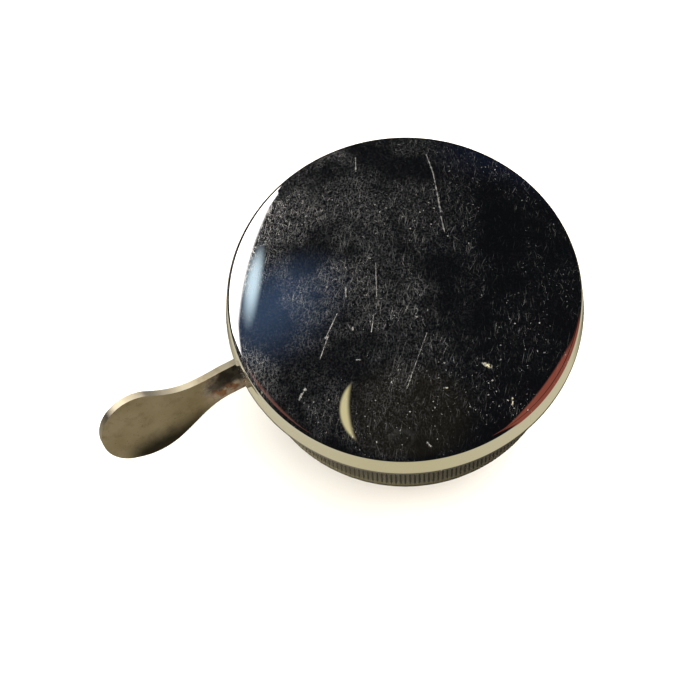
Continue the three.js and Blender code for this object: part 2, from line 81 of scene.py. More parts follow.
CROWN_R = 81.5 * MM            # radius of the dome's shallow crown
CORNER_R = 1.3 * MM            # radius of its turn into the skirt
SHOULDER_R = 29.56 * MM        # of the skirt's top, which widens a little down to the lip
DOME_T = 1.0 * MM
LIP_ROUND = 0.25 * MM
CUP_T = 1.0 * MM
CUP_CORNER = 2.3 * MM
ON_AXIS = 1e-7                 # a radius below this counts as none
RIBS = 208                     # straight knurl at 0.8 mm
RIB_DEPTH = 0.26 * MM
RIB_FOOT_GAP = 0.5 * MM        # plain wall below and above the ribs
RIB_TOP_GAP = 1.2 * MM
RIB_RUN_OUT = ((0, 0), (0.25 * MM, 0.7), (0.6 * MM, 1))   # from a rib's end, and its share of depth
SLOT_ANGLES = (174, 201.5)     # the lever's slot, in degrees about +Z
SLOT_REACH = (18 * MM, 40 * MM)
SLOT_Z = (17.4 * MM, 28.6 * MM)
SLOT_CORNER = 1.1 * MM
SCREW_HOLE_R = 1.7 * MM        # in the middle of the cup's floor

LEVER_HEADING = 207            # of the blade, in degrees about +Z
LEVER_ROOT = (-26.4 * MM, -6.5 * MM, 0)   # where its neck comes out of the cup

# Camera
VIEW_ELEVATION = 66.5
VIEW_ROLL = 1.8
VIEW_DISTANCE = 380 * MM
VIEW_WIDTH = 116.47 * MM       # what the picture spans at the edge of the dome
EDGE_DROP = 7.4 * MM           # of the dome's visible edge below its top
EDGE_OFFSET = (9.03 * MM, 8.44 * MM)   # of that edge's middle from the picture's middle: right, up
SENSOR = 36.0


# ---------- nodes ----------

class Graph:
    """A material's node tree with short ways to add the nodes used here."""

    def __init__(self, name, metallic=1.0):
        self.material = bpy.data.materials.new(name)
        self.material.use_nodes = True
        self.tree = self.material.node_tree
        self.tree.nodes.clear()
        output = self.tree.nodes.new("ShaderNodeOutputMaterial")
        self.shader = self.tree.nodes.new("ShaderNodeBsdfPrincipled")
        self.shader.inputs["Metallic"].default_value = metallic
        self.tree.links.new(self.shader.outputs[0], output.inputs["Surface"])
        self.place = self.add("ShaderNodeTexCoord").outputs["Object"]

    def add(self, kind, **settings):
        node = self.tree.nodes.new(kind)
        for key, value in settings.items():
            setattr(node, key, value)
        return node

    def feed(self, socket, value):
        if isinstance(value, bpy.types.NodeSocket):
            self.tree.links.new(value, socket)
        elif isinstance(value, (tuple, list)) and len(value) == 3 and socket.type == "RGBA":
            socket.default_value = (*value, 1)
        else:
            socket.default_value = value

    def set(self, name, value):
        self.feed(self.shader.inputs[name], value)

    def math(self, operation, a, b=0.0, clamp=False):
        node = self.add("ShaderNodeMath", operation=operation, use_clamp=clamp)
        self.feed(node.inputs[0], a)
        self.feed(node.inputs[1], b)
        return node.outputs[0]

    def vector(self, operation, a, b=(0, 0, 0)):
        node = self.add("ShaderNodeVectorMath", operation=operation)
        self.feed(node.inputs[0], a)
        self.feed(node.inputs[1], b)
        return node.outputs["Value"] if operation in ("DOT_PRODUCT", "LENGTH") else node.outputs[0]

    def turned(self, degrees=0.0, scale=(1, 1, 1), shift=(0, 0, 0)):
        """The object's place, turned about Z and stretched, for streaks that run one way."""
        turn = self.add("ShaderNodeMapping")
        self.feed(turn.inputs["Vector"], self.place)
        turn.inputs["Rotation"].default_value = (0, 0, math.radians(degrees))
        stretch = self.add("ShaderNodeMapping")
        self.feed(stretch.inputs["Vector"], turn.outputs[0])
        stretch.inputs["Scale"].default_value = scale
        stretch.inputs["Location"].default_value = shift
        return stretch.outputs[0]

    def noise(self, scale, detail=2.0, vector=None, roughness=0.5):
        node = self.add("ShaderNodeTexNoise")
        self.feed(node.inputs["Vector"], vector or self.place)
        node.inputs["Scale"].default_value = scale
        node.inputs["Detail"].default_value = detail
        node.inputs["Roughness"].default_value = roughness
        return node.outputs["Fac"]

    def span(self, value, low, high, to_low=0.0, to_high=1.0, smooth=False):
        """The value, spread from low..high to to_low..to_high and held at the ends."""
        node = self.add("ShaderNodeMapRange", interpolation_type="SMOOTHSTEP" if smooth else "LINEAR")
        for name, v in zip(("Value", "From Min", "From Max", "To Min", "To Max"),
                           (value, low, high, to_low, to_high)):
            self.feed(node.inputs[name], v)
        return node.outputs[0]

    def mix(self, factor, a, b):
        node = self.add("ShaderNodeMix", data_type="RGBA")
        self.feed(node.inputs[0], factor)
        self.feed(node.inputs[6], a)
        self.feed(node.inputs[7], b)
        return node.outputs[2]

    def bump(self, height, distance):
        node = self.add("ShaderNodeBump")
        node.inputs["Strength"].default_value = 1.0
        node.inputs["Distance"].default_value = distance
        self.feed(node.inputs["Height"], height)
        return node.outputs[0]

    def axis(self, letter, vector=None):
        node = self.add("ShaderNodeSeparateXYZ")
        self.feed(node.inputs[0], vector or self.place)
        return node.outputs[letter]

    def times(self, *values):
        result = values[0]
        for value in values[1:]:
            result = self.math("MULTIPLY", result, value)
        return result

    def greatest(self, *values):
        result = values[0]
        for value in values[1:]:
            result = self.math("MAXIMUM", result, value)
        return result

    def plus(self, a, b):
        return self.math("ADD", a, b)

    def rest_of(self, value):
        return self.math("SUBTRACT", 1.0, value)

    def stroke(self, start, end, width, wobble):
        """A single mark from start to end, seen from above, with ragged sides."""
        start, end = Vector((*start, 0)) * MM, Vector((*end, 0)) * MM
        along = end - start
        flat = self.vector("MULTIPLY", self.place, (1, 1, 0))
        away = self.vector("SUBTRACT", flat, tuple(start))
        share = self.math("DIVIDE", self.vector("DOT_PRODUCT", away, tuple(along)),
                          along.length_squared, clamp=True)
        scaled = self.add("ShaderNodeVectorMath", operation="SCALE")
        scaled.inputs[0].default_value = tuple(along)
        self.feed(scaled.inputs["Scale"], share)
        gap = self.vector("LENGTH", self.vector("SUBTRACT", away, scaled.outputs[0]))
        ragged = self.plus(gap, self.times(wobble, 0.9 * width * MM))
        return self.span(ragged, 0.75 * width * MM, 0.35 * width * MM)


# ---------- materials ----------

CHROME = (0.80, 0.805, 0.80)
DULLED_CHROME = (0.64, 0.61, 0.54)
DRIED_SPOT = (0.60, 0.54, 0.26)
SCRATCHES = (                  # degrees from straight back, width and length in mm, cut-off, shift
    (12, 0.10, 3.2, 0.645, (3, 1, 0)), (-6, 0.08, 2.2, 0.66, (9, 4, 0)),
    (27, 0.10, 2.6, 0.665, (2, 7, 0)), (-24, 0.09, 2.0, 0.665, (5, 5, 0)),
    (58, 0.10, 1.4, 0.68, (8, 2, 0)), (-52, 0.09, 1.6, 0.68, (1, 9, 0)),
)
SCARS = (                      # marks on the crown: from, to and width, in mm, seen from above
    ((4.5, 25), (5.5, 21), 0.45), ((5.5, 21), (6, 17), 0.4), ((6, 17), (6.5, 13), 0.6),
    ((6.5, 12), (7, 9), 0.3), ((-4.5, 3.5), (-4.5, -2.5), 0.25), ((-11, -5), (-13, -9), 0.4),
    ((-9.5, -0.5), (-9.5, -2.5), 0.3), ((-5, -5.5), (-5.5, -8.5), 0.25), ((-7.5, 25), (-7.5, 22), 0.35),
    ((3.5, -9), (0, -18), 0.2), ((-12.5, -8.5), (-14, -12.5), 0.3), ((-16.5, -17), (-17.5, -18.5), 0.7),
    ((-8.5, -7.5), (-8.5, -8), 0.7), ((-8, -13), (-7.5, -13), 0.6), ((3, -26.5), (3.5, -27), 0.6),
)
SPOTS = (                      # dried yellowish spots
    ((12.5, -14), (13.5, -14.5), 1.0), ((17, -19.5), (17, -20.5), 0.8), ((6, -18), (6.5, -18), 0.5),
)
CLOUDS = (                     # where fine wear gathers into a haze
    ((-17.5, 9.5), (-13.5, 9.5), 6), ((-2, 2), (5, -2), 7), ((-22, -10), (-18, -14), 6),
)
CLEAN_FRONT = (-25 * MM, -12 * MM)     # the crown's front is less rubbed than the rest


def fine_scratches(g):
    """Short fine scratches in several directions, fewer and fewer towards the right."""
    fewer = g.span(g.axis("X"), -26 * MM, 20 * MM, 0.0, 0.06)
    layers = []
    for degrees, width, length, low, shift in SCRATCHES:
        across, along = 1 / (width * MM), 1 / (length * MM)
        lines = g.noise(1, 1.0, g.turned(degrees, (across, along, 0.4 * along), shift))
        start = g.plus(fewer, low)
        layers.append(g.span(lines, start, g.plus(start, 0.09)))
    return g.greatest(*layers)


def grey_haze(g):
    """Wear too fine to see as scratches, strongest at the left."""
    grain = g.span(g.noise(3000, 3.0, roughness=0.75), 0.47, 0.72)
    gathered = g.greatest(*(g.stroke(*cloud, g.noise(260, 4.0)) for cloud in CLOUDS))
    worn = g.plus(g.span(g.axis("X"), -27 * MM, 14 * MM, 0.85, 0.05), g.times(gathered, 0.35))
    return g.times(grain, worn)


def polished_chrome():
    """Bright chrome with years of fine scratches, dust and a few dull marks."""
    g = Graph("polished_chrome")
    patches = g.noise(110, 3.0, roughness=0.6)
    rubbed = g.span(g.axis("Y"), *CLEAN_FRONT, 0.3, 1.0, smooth=True)
    fine = g.times(fine_scratches(g), rubbed, g.span(patches, 0.42, 0.60, 0.08, 1.0))
    haze = g.times(grey_haze(g), rubbed, g.span(patches, 0.38, 0.60, 0.15, 1.0))
    ragged = g.noise(1600, 2.0)
    scars = g.greatest(*(g.stroke(*scar, ragged) for scar in SCARS))
    spots = g.greatest(*(g.stroke(*spot, g.noise(900, 3.0)) for spot in SPOTS))
    spots = g.times(spots, g.span(g.noise(2600, 1.0), 0.40, 0.60))
    specks = g.times(g.span(g.noise(2600, 0.0), 0.795, 0.83), g.span(patches, 0.45, 0.6))
    rough = g.plus(g.times(haze, 0.04), g.plus(g.times(fine, 0.2), 0.018))
    g.set("Roughness", g.greatest(rough, g.times(g.greatest(scars, spots), 0.45)))
    dull = g.plus(g.times(fine, 0.15), g.times(haze, 0.12))
    dull = g.greatest(dull, g.times(scars, 0.26), g.times(specks, 0.28), g.times(spots, 0.55))
    g.set("Metallic", g.rest_of(dull))
    tint = g.mix(g.math("MINIMUM", g.times(dull, 6.0), 1.0), CHROME, DULLED_CHROME)
    g.set("Base Color", g.mix(spots, tint, DRIED_SPOT))
    g.set("Normal", g.bump(g.noise(55, 1.0), 0.008 * MM))
    return g.material


def plated(name, colour, dark, rough, streak_degrees, streak, spots):
    """Plated or turned metal: cloudy tarnish, fine streaks, a little pitting."""
    g = Graph(name)
    cloud = g.span(g.noise(140, 5.0), 0.35, 0.7)
    fine = g.noise(1, 3.0, g.turned(streak_degrees, (9000, 500, 900)))
    pits = g.span(g.noise(3200, 1.0), 0.70, 0.76, 0.0, spots)
    tint = g.mix(cloud, colour, dark)
    g.set("Base Color", g.mix(pits, tint, tuple(0.25 * c for c in dark)))
    clouded = g.span(cloud, 0, 1, rough - streak / 2, rough + 0.1)
    g.set("Roughness", g.plus(g.times(fine, streak), clouded))
    height = g.math("SUBTRACT", g.times(fine, 0.4), pits)
    g.set("Normal", g.bump(height, 0.006 * MM))
    return g.material


RIB_NICKEL = ((0.34, 0.32, 0.25), (0.24, 0.22, 0.165))     # clean and tarnished, as lit at the left; the two below are this nickel with painted shade
RIB_NICKEL_SHADED_MIDDLE = (0.15, 0.14, 0.105)
RIB_NICKEL_SHADED_RIGHT = (0.05, 0.045, 0.036)
RIB_GRIME = (0.045, 0.036, 0.024)


def ribbed_nickel():
    """The cup's old nickel with painted shade, darker to the right, and dirt in the bottoms of the ribs.
    """
    g = Graph("ribbed_nickel")
    radius = g.vector("LENGTH", g.vector("MULTIPLY", g.place, (1, 1, 0)))
    deep = g.span(radius, CUP_R - 0.75 * RIB_DEPTH, CUP_R - 0.15 * RIB_DEPTH, 1.0, 0.0)
    on_wall = g.span(radius, CUP_R - 1.6 * RIB_DEPTH, CUP_R - 1.2 * RIB_DEPTH)
    cloud = g.span(g.noise(160, 4.0), 0.35, 0.7)
    grime_and_dark_reflection = g.times(deep, on_wall, g.span(cloud, 0, 1, 0.45, 0.9))
    metal = g.mix(cloud, *RIB_NICKEL)
    # painted shade: the nickel is darkened towards the middle, and darker still at the right
    metal = g.mix(g.span(g.axis("X"), -18 * MM, 4 * MM), metal, RIB_NICKEL_SHADED_MIDDLE)
    metal = g.mix(g.span(g.axis("X"), 4 * MM, 16 * MM), metal, RIB_NICKEL_SHADED_RIGHT)
    g.set("Base Color", g.mix(grime_and_dark_reflection, metal, RIB_GRIME))
    g.set("Metallic", g.rest_of(g.times(grime_and_dark_reflection, 0.8)))
    g.set("Roughness", g.greatest(g.span(cloud, 0, 1, 0.10, 0.17), g.times(grime_and_dark_reflection, 0.6)))
    g.set("Normal", g.bump(g.noise(2400, 3.0), 0.004 * MM))
    return g.material


LEVER_NICKEL = ((0.40, 0.355, 0.295), (0.315, 0.270, 0.190))
LEVER_BLOTCH = (0.17, 0.14, 0.10)
LEVER_PIT = (0.10, 0.08, 0.05)
# painted dark reflection low on the paddle
LEVER_PADDLE_DARK_REFLECTION = (0.015, 0.013, 0.010)
LEVER_RUST = ((0.17, 0.060, 0.009), (0.06, 0.025, 0.008))
# painted dark reflection at the top of the neck, by the cup
LEVER_NECK_DARK_REFLECTION = (0.008, 0.005, 0.003)
# painted highlight on upward-facing edges, clean and tarnished
LEVER_EDGE_HIGHLIGHT = ((0.72, 0.65, 0.48), (0.40, 0.34, 0.22))
NECK_FADE = (11 * MM, 6 * MM)          # rust and the painted dark reflection stop between these, out along the blade
NECK_DARK_LOW = (21.2 * MM, 22.8 * MM)     # the painted dark reflection's lower side, in height
PADDLE_DARK_TOP = (21.4 * MM, 16.8 * MM)     # the painted dark reflection on the paddle grows from the first height down
PADDLE_DARK_END = (27 * MM, 22 * MM)         # and from the first place inwards along the blade


def worn_lever():
    """Dull nickel on the lever with a painted highlight along its upper edge, a painted dark reflection
    low on the paddle, and rust with a painted dark reflection where it leaves the cup.
    """
    g = Graph("worn_lever")
    heading = math.radians(LEVER_HEADING)
    out = g.vector("DOT_PRODUCT", g.vector("SUBTRACT", g.place, LEVER_ROOT),
                   (math.cos(heading), math.sin(heading), 0))
    height = g.axis("Z")
    ragged = g.math("SUBTRACT", g.noise(330, 5.0, roughness=0.65), 0.5)
    near_cup = g.span(g.plus(out, g.times(ragged, 9 * MM)), *NECK_FADE, smooth=True)
    above = g.span(g.plus(height, g.times(ragged, 5 * MM)), *NECK_DARK_LOW, smooth=True)
    # painted dark reflection at the top of the neck by the cup; the rust is real
    neck_dark_reflection = g.times(near_cup, above)
    blotch = g.span(g.noise(520, 4.0, roughness=0.6), 0.44, 0.56)
    rust = g.times(near_cup, g.span(blotch, 0, 1, 0.25, 0.95))
    # painted dark reflection: near-black low on the paddle, fading out towards the neck
    grime_and_dark_reflection = g.span(g.plus(height, g.times(ragged, 1.5 * MM)), *PADDLE_DARK_TOP, 0.0, 0.96, smooth=True)
    grime_and_dark_reflection = g.times(grime_and_dark_reflection, g.span(out, *PADDLE_DARK_END, smooth=True))
    cloud = g.span(g.noise(130, 5.0), 0.35, 0.7)
    metal = g.mix(cloud, *LEVER_NICKEL)
    metal = g.mix(g.span(g.noise(480, 5.0, roughness=0.7), 0.5, 0.72, 0.0, 0.5), metal, LEVER_BLOTCH)
    metal = g.mix(g.span(g.noise(2600, 2.0), 0.66, 0.73, 0.0, 0.45), metal, LEVER_PIT)
    # painted dark reflection low on the paddle
    metal = g.mix(grime_and_dark_reflection, metal, LEVER_PADDLE_DARK_REFLECTION)
    metal = g.mix(rust, metal, g.mix(g.noise(900, 3.0), *LEVER_RUST))
    # painted dark reflection at the neck
    metal = g.mix(neck_dark_reflection, metal, LEVER_NECK_DARK_REFLECTION)
    # painted highlight: upward-facing edges get a paler, less metallic colour, weaker on the neck
    facing_up = g.axis("Z", g.add("ShaderNodeTexCoord").outputs["Normal"])
    edge = g.times(g.span(facing_up, 0.72, 0.93), g.span(neck_dark_reflection, 0.0, 1.0, 1.0, 0.5))
    g.set("Base Color", g.mix(edge, metal, g.mix(cloud, *LEVER_EDGE_HIGHLIGHT)))
    flat = g.greatest(g.times(edge, 0.55), g.times(g.greatest(rust, neck_dark_reflection), 0.8))
    g.set("Metallic", g.rest_of(flat))
    brushed = g.noise(1, 3.0, g.turned(-27, (600, 9000, 5000)))
    smooth = g.plus(g.span(cloud, 0, 1, 0.36, 0.44), g.times(brushed, 0.1))
    g.set("Roughness", g.greatest(smooth, g.times(rust, 0.8)))
    relief = g.plus(g.times(brushed, 0.5), g.times(rust, g.noise(1500, 4.0)))
    g.set("Normal", g.bump(relief, 0.012 * MM))
    return g.material


def make_materials():
    """A material for each of the record's slots. plated() takes its two colours, the roughness,
    the streaks' direction and depth, and how strong the pitting is."""
    return {
        "chrome": polished_chrome(),
        "nickel": plated("plated_nickel", (0.62, 0.59, 0.51), (0.44, 0.41, 0.34), 0.28, 90, 0.1, 0.5),
        "ribs": ribbed_nickel(),
        "satin": worn_lever(),
        "steel": plated("turned_steel", (0.52, 0.52, 0.53), (0.36, 0.35, 0.34), 0.3, 0, 0.15, 0.3),
        "zinc": plated("zinc_plate", (0.62, 0.64, 0.66), (0.48, 0.47, 0.42), 0.34, 0, 0.12, 0.4),
        "brass": plated("machined_brass", (0.78, 0.57, 0.24), (0.50, 0.34, 0.13), 0.24, 0, 0.14, 0.3),
        "spring": plated("spring_steel", (0.20, 0.20, 0.21), (0.10, 0.09, 0.09), 0.28, 0, 0.1, 0.2),
    }


# ---------- meshes ----------

def show(name, mesh, node, material, smooth_angle=40):
    """A new piece in place of a CAD node, on that node's body."""
    piece = bpy.data.objects.new(name, mesh)
    bpy.context.scene.collection.objects.link(piece)
    mesh.polygons.foreach_set("use_smooth", [True] * len(mesh.polygons))
    mesh.set_sharp_from_angle(angle=math.radians(smooth_angle))
    mesh.materials.clear()
    mesh.materials.append(material)
    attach(piece, BODY_OF[node])
    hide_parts(node)
    return piece


def arc(cx, cz, radius, start, end, steps):
    """Points (r, z) round an arc; angles in degrees from +r towards +z."""
    angles = [math.radians(start + (end - start) * i / steps) for i in range(steps + 1)]
    return [(cx + radius * math.cos(a), cz + radius * math.sin(a)) for a in angles]


def revolve(name, profile, segments, wobble=None):
    """A closed mesh from (r, z) points turned about Z. Points on the axis become one vertex.
    The wobble gives what to add to a point's radius at an angle."""
    bm = bmesh.new()
    rings = []
    for index, (r, z) in enumerate(profile):
        if r < ON_AXIS:
            rings.append([bm.verts.new((0, 0, z))])
            continue
        ring = []
        for k in range(segments):
            a = 2 * math.pi * k / segments
            radius = r + (wobble(index, a) if wobble else 0)
            ring.append(bm.verts.new((radius * math.cos(a), radius * math.sin(a), z)))
        rings.append(ring)
    closed = profile[0][0] >= ON_AXIS
    pairs = list(zip(rings, rings[1:])) + ([(rings[-1], rings[0])] if closed else [])
    for a, b in pairs:
        for k in range(segments):
            n = (k + 1) % segments
            quad = [a[k % len(a)], a[n % len(a)], b[n % len(b)], b[k % len(b)]]
            corners = list(dict.fromkeys(quad))
            if len(corners) > 2:
                bm.faces.new(corners)
    bmesh.ops.recalc_face_normals(bm, faces=bm.faces)
    mesh = bpy.data.meshes.new(name)
    bm.to_mesh(mesh)
    bm.free()
    return mesh


def dome_profile():
    """(r, z) points of the gong's section: over the crown and down the skirt, then back inside."""
    corner_x = SHOULDER_R - CORNER_R
    centre_z = APEX_Z - CROWN_R
    meet = math.asin(corner_x / (CROWN_R - CORNER_R))
    corner_z = centre_z + (CROWN_R - CORNER_R) * math.cos(meet)
    meet = math.degrees(meet)
    flare = math.degrees(math.atan((LIP_R - SHOULDER_R) / (corner_z - LIP_Z)))
    outer = arc(0, centre_z, CROWN_R, 90, 90 - meet, 30)
    outer += arc(corner_x, corner_z, CORNER_R, 90 - meet, flare, 20)[1:]
    inner = arc(corner_x, corner_z, CORNER_R - DOME_T, flare, 90 - meet, 8)
    inner += arc(0, centre_z, CROWN_R - DOME_T, 90 - meet, 90, 16)[1:]
    # points down the skirt keep its shading flat until just above the lip
    top_r, top_z = outer[-1]
    lip_z = LIP_Z + LIP_ROUND
    for share in (0.1, 0.4, 0.8):
        outer.append((top_r + (LIP_R - top_r) * share, top_z + (lip_z - top_z) * share))
    lip = arc(LIP_R - LIP_ROUND, lip_z, LIP_ROUND, 0, -90, 5)
    lip += arc(LIP_R - DOME_T + LIP_ROUND, lip_z, LIP_ROUND, -90, -180, 5)
    outer[0] = (0, outer[0][1])
    inner[-1] = (0, inner[-1][1])
    return outer + lip + inner


def make_dome(materials):
    return show("gong_dome", revolve("gong_dome", dome_profile(), 288), "dome", materials["chrome"])


def cup_profile():
    """(r, z) points of the cup's section, and how deep the ribs are at each."""
    corner_x, corner_z = CUP_R - CUP_CORNER, FLOOR_Z + CUP_CORNER
    start, end = corner_z + RIB_FOOT_GAP, RIM_Z - RIB_TOP_GAP
    points = [((0, FLOOR_Z), 0)]
    points += [(p, 0) for p in arc(corner_x, corner_z, CUP_CORNER, -90, 0, 8)]
    points += [((CUP_R, start + gap), depth) for gap, depth in RIB_RUN_OUT]
    points += [((CUP_R, start + (end - start) * k / 6), 1) for k in range(1, 6)]
    points += [((CUP_R, end - gap), depth) for gap, depth in reversed(RIB_RUN_OUT)]
    rim = CUP_T / 2
    points += [(p, 0) for p in arc(CUP_R - rim, RIM_Z - rim, rim, 0, 180, 8)]
    points += [(p, 0) for p in arc(corner_x, corner_z, CUP_CORNER - CUP_T, 0, -90, 6)]
    points += [((0, FLOOR_Z + CUP_T), 0)]
    return points


def cut(piece_mesh, *cutters):
    """The mesh less the cutters, which are other meshes."""
    scene = bpy.context.scene.collection
    base = bpy.data.objects.new("base_of_cut", piece_mesh)
    scene.objects.link(base)
    tools = []
    for cutter in cutters:
        tool = bpy.data.objects.new("tool_of_cut", cutter)
        scene.objects.link(tool)
        modifier = base.modifiers.new("cut", "BOOLEAN")
        modifier.operation, modifier.solver, modifier.object = "DIFFERENCE", "EXACT", tool
        tools.append(tool)
    graph = bpy.context.evaluated_depsgraph_get()
    result = bpy.data.meshes.new_from_object(base.evaluated_get(graph))
    for extra in (base, *tools):
        bpy.data.objects.remove(extra)
    return result


def slot_cutter():
    """A wedge through the cup's wall with rounded corners, where the lever comes out."""
    bm = bmesh.new()
    corners = []
    (near, far), (first, last) = SLOT_REACH, SLOT_ANGLES
    for z in SLOT_Z:
        for r, degrees in ((near, first), (far, first), (far, last), (near, last)):
            a = math.radians(degrees)
            corners.append(bm.verts.new((r * math.cos(a), r * math.sin(a), z)))
    low, high = corners[:4], corners[4:]
    bm.faces.new(low[::-1])
    bm.faces.new(high)
    for k in range(4):
        n = (k + 1) % 4
        bm.faces.new((low[k], low[n], high[n], high[k]))
    bm.edges.ensure_lookup_table()
    outward = [e for e in bm.edges
               if abs(e.verts[0].co.xy.length - e.verts[1].co.xy.length) > (far - near) / 2]
    bmesh.ops.bevel(bm, geom=outward, offset=SLOT_CORNER, segments=5, affect="EDGES", profile=0.5)
    bmesh.ops.recalc_face_normals(bm, faces=bm.faces)
    mesh = bpy.data.meshes.new("slot_cutter")
    bm.to_mesh(mesh)
    bm.free()
    return mesh


def make_cup(materials):
    points = cup_profile()
    depth = [share * RIB_DEPTH for _, share in points]

    def rib(index, angle):
        return -depth[index] * (0.5 - 0.5 * math.cos(RIBS * angle))
    shell = revolve("ribbed_cup", [p for p, _ in points], RIBS * 6, rib)
    below, above = FLOOR_Z - CUP_T, FLOOR_Z + 3 * CUP_T
    hole = revolve("hole", [(0, below), (SCREW_HOLE_R, below), (SCREW_HOLE_R, above), (0, above)], 32)
    return show("ribbed_cup", cut(shell, slot_cutter(), hole), "base_cup", materials["ribs"], 55)


EDGE_ROUND_USUAL = 0.12        # mm
EDGE_ROUND = {                 # mm, where it isn't the usual
    "thumb_lever": 0.3, "clamp_saddle": 0.25, "clamp_strap": 0.25, "lever_spring": 0.0,
    "idler_wheel": 0.06, "idler_pinion": 0.06, "rotor_pinion": 0.06,
}
JOIN_WITHIN = 2e-6             # vertices closer than this become one
LEAST_FOLD = 35                # degrees between faces that make an edge to round


def finish_cad_nodes(materials):
    """Rounds the edges of every CAD node that still shows, and gives it its metal."""
    for name, node in frame["nodes"].items():
        if node.hide_render:
            continue
        node.data.materials.clear()
        node.data.materials.append(materials[SLOT_OF[name]])
        node.data.polygons.foreach_set("use_smooth", [True] * len(node.data.polygons))
        weld = node.modifiers.new("join", "WELD")
        weld.merge_threshold = JOIN_WITHIN
        width = EDGE_ROUND.get(name, EDGE_ROUND_USUAL) * MM
        if width:
            bevel = node.modifiers.new("round", "BEVEL")
            bevel.width, bevel.segments = width, 3
            bevel.limit_method, bevel.angle_limit = "ANGLE", math.radians(LEAST_FOLD)
            bevel.use_clamp_overlap = True
        normals = node.modifiers.new("normals", "WEIGHTED_NORMAL")
        normals.weight = 60
        normals.keep_sharp = False


# ---------- stage ----------

AIM = Vector((0, 0, 20 * MM))
FLOOR_HALF = 3.0               # metres from the middle of the floor to its side
FLOOR_TONES = ((0.86, 0.83, 0.76), (0.84, 0.81, 0.74))


def area_light(name, place, size, power, colour):
    """A square soft light aimed at the bell. The metal doesn't mirror it, only the room."""
    data = bpy.data.lights.new(name, "AREA")
    data.shape, data.size = "SQUARE", size
    data.energy, data.color = power, colour
    light = bpy.data.objects.new(name, data)
    bpy.context.scene.collection.objects.link(light)
    light.location = place
    light.rotation_euler = (AIM - Vector(place)).to_track_quat("-Z", "Y").to_euler()
    light.visible_glossy = False


def make_floor():
    g = Graph("pale_floor", metallic=0.0)
    g.set("Base Color", g.mix(g.noise(9, 3.0), *FLOOR_TONES))
    g.set("Roughness", 0.9)
    g.shader.inputs["Specular IOR Level"].default_value = 0.1
    mesh = bpy.data.meshes.new("floor")
    half = FLOOR_HALF
    mesh.from_pydata([(-half, -half, STAND_Z), (half, -half, STAND_Z), (half, half, STAND_Z),
                      (-half, half, STAND_Z)], [], [(0, 1, 2, 3)])
    mesh.materials.append(g.material)
    floor = bpy.data.objects.new("floor", mesh)
    bpy.context.scene.collection.objects.link(floor)
    floor.visible_glossy = False      # the metal reflects the room's own table instead


LEFT, RIGHT, BACK, UP = (-1, 0, 0), (1, 0, 0), (0, 1, 0), (0, 0, 1)
LEAST_DEPTH = 0.02             # directions flatter to a wall than this don't meet it
SLANT = 1.15
DIM_AIR = (0.0042, 0.0046, 0.0056)
SKY_HAZE = (0.034, 0.060, 0.115)
BACK_GLOW = (0.005, 0.008, 0.018)
TABLE_LEFT = (0.66, 0.61, 0.46)
TABLE_MIDDLE = (0.58, 0.51, 0.31)
TABLE_RIGHT = (0.64, 0.58, 0.41)
TABLE_BEYOND = (0.03, 0.027, 0.02)
SHADOW_LEFT = (0.20, 0.18, 0.135)
SHADOW_RIGHT = (0.06, 0.055, 0.042)
WINDOW = (3.2, 3.1, 3.05)
SKY = (0.75, 0.97, 1.12)
WOOD = (0.27, 0.070, 0.045)
WOOD_JOINT = (0.04, 0.013, 0.010)
WOOD_STRIP = (0.16, 0.06, 0.045)
MOON_DARK = (0.0105, 0.0092, 0.007)
MOON_LIT = (0.70, 0.62, 0.34)
RING_GREY = (0.030, 0.029, 0.026)


class Surroundings(Graph):
    """The room as the metal reflects it: dark above, a pale table below, and a few bright things."""

    def __init__(self):
        world = bpy.data.worlds.new("room")
        world.use_nodes = True
        self.world, self.tree = world, world.node_tree
        self.tree.nodes.clear()
        output = self.add("ShaderNodeOutputWorld")
        self.background = self.add("ShaderNodeBackground")
        self.tree.links.new(self.background.outputs[0], output.inputs["Surface"])
        self.place = self.add("ShaderNodeTexCoord").outputs["Generated"]
        self.light = DIM_AIR

    def parts(self):
        """The direction's three parts: to the right, to the back and up."""
        node = self.add("ShaderNodeSeparateXYZ")
        self.feed(node.inputs[0], self.place)
        return node.outputs

    def put(self, mask, colour):
        self.light = self.mix(mask, self.light, colour)

    def on_wall(self, wall, along):
        """Where a direction meets a wall one unit away: along it, and the wall's in-front mask."""
        depth = self.vector("DOT_PRODUCT", self.place, wall)
        ahead = self.math("GREATER_THAN", depth, LEAST_DEPTH)
        flat = self.math("DIVIDE", self.vector("DOT_PRODUCT", self.place, along),
                         self.math("MAXIMUM", depth, LEAST_DEPTH))
        return flat, ahead

    def slanted(self, wall, across, up):
        """A wall's height, measured along lines that fall towards +across as the dome's edge does."""
        return self.plus(self.on_wall(wall, up)[0], self.times(self.on_wall(wall, across)[0], SLANT))

    def panel(self, wall, across, up, wide, high, soft):
        """A mask that is 1 inside a rectangle on a wall, with soft sides."""
        u, ahead = self.on_wall(wall, across)
        w, _ = self.on_wall(wall, up)
        mask = ahead
        for value, (low, top) in ((u, wide), (w, high)):
            mask = self.times(mask, self.span(value, low - soft, low + soft, smooth=True),
                              self.span(value, top + soft, top - soft, smooth=True))
        return mask

    def disc(self, wall, across, up, centre, radii, soft):
        """A mask that is 1 inside an ellipse on a wall, with a soft edge."""
        u, ahead = self.on_wall(wall, across)
        w, _ = self.on_wall(wall, up)
        du = self.math("DIVIDE", self.math("SUBTRACT", u, centre[0]), radii[0])
        dw = self.math("DIVIDE", self.math("SUBTRACT", w, centre[1]), radii[1])
        away = self.math("SQRT", self.plus(self.times(du, du), self.times(dw, dw)))
        return self.times(ahead, self.span(away, 1 + soft, 1 - soft, smooth=True))


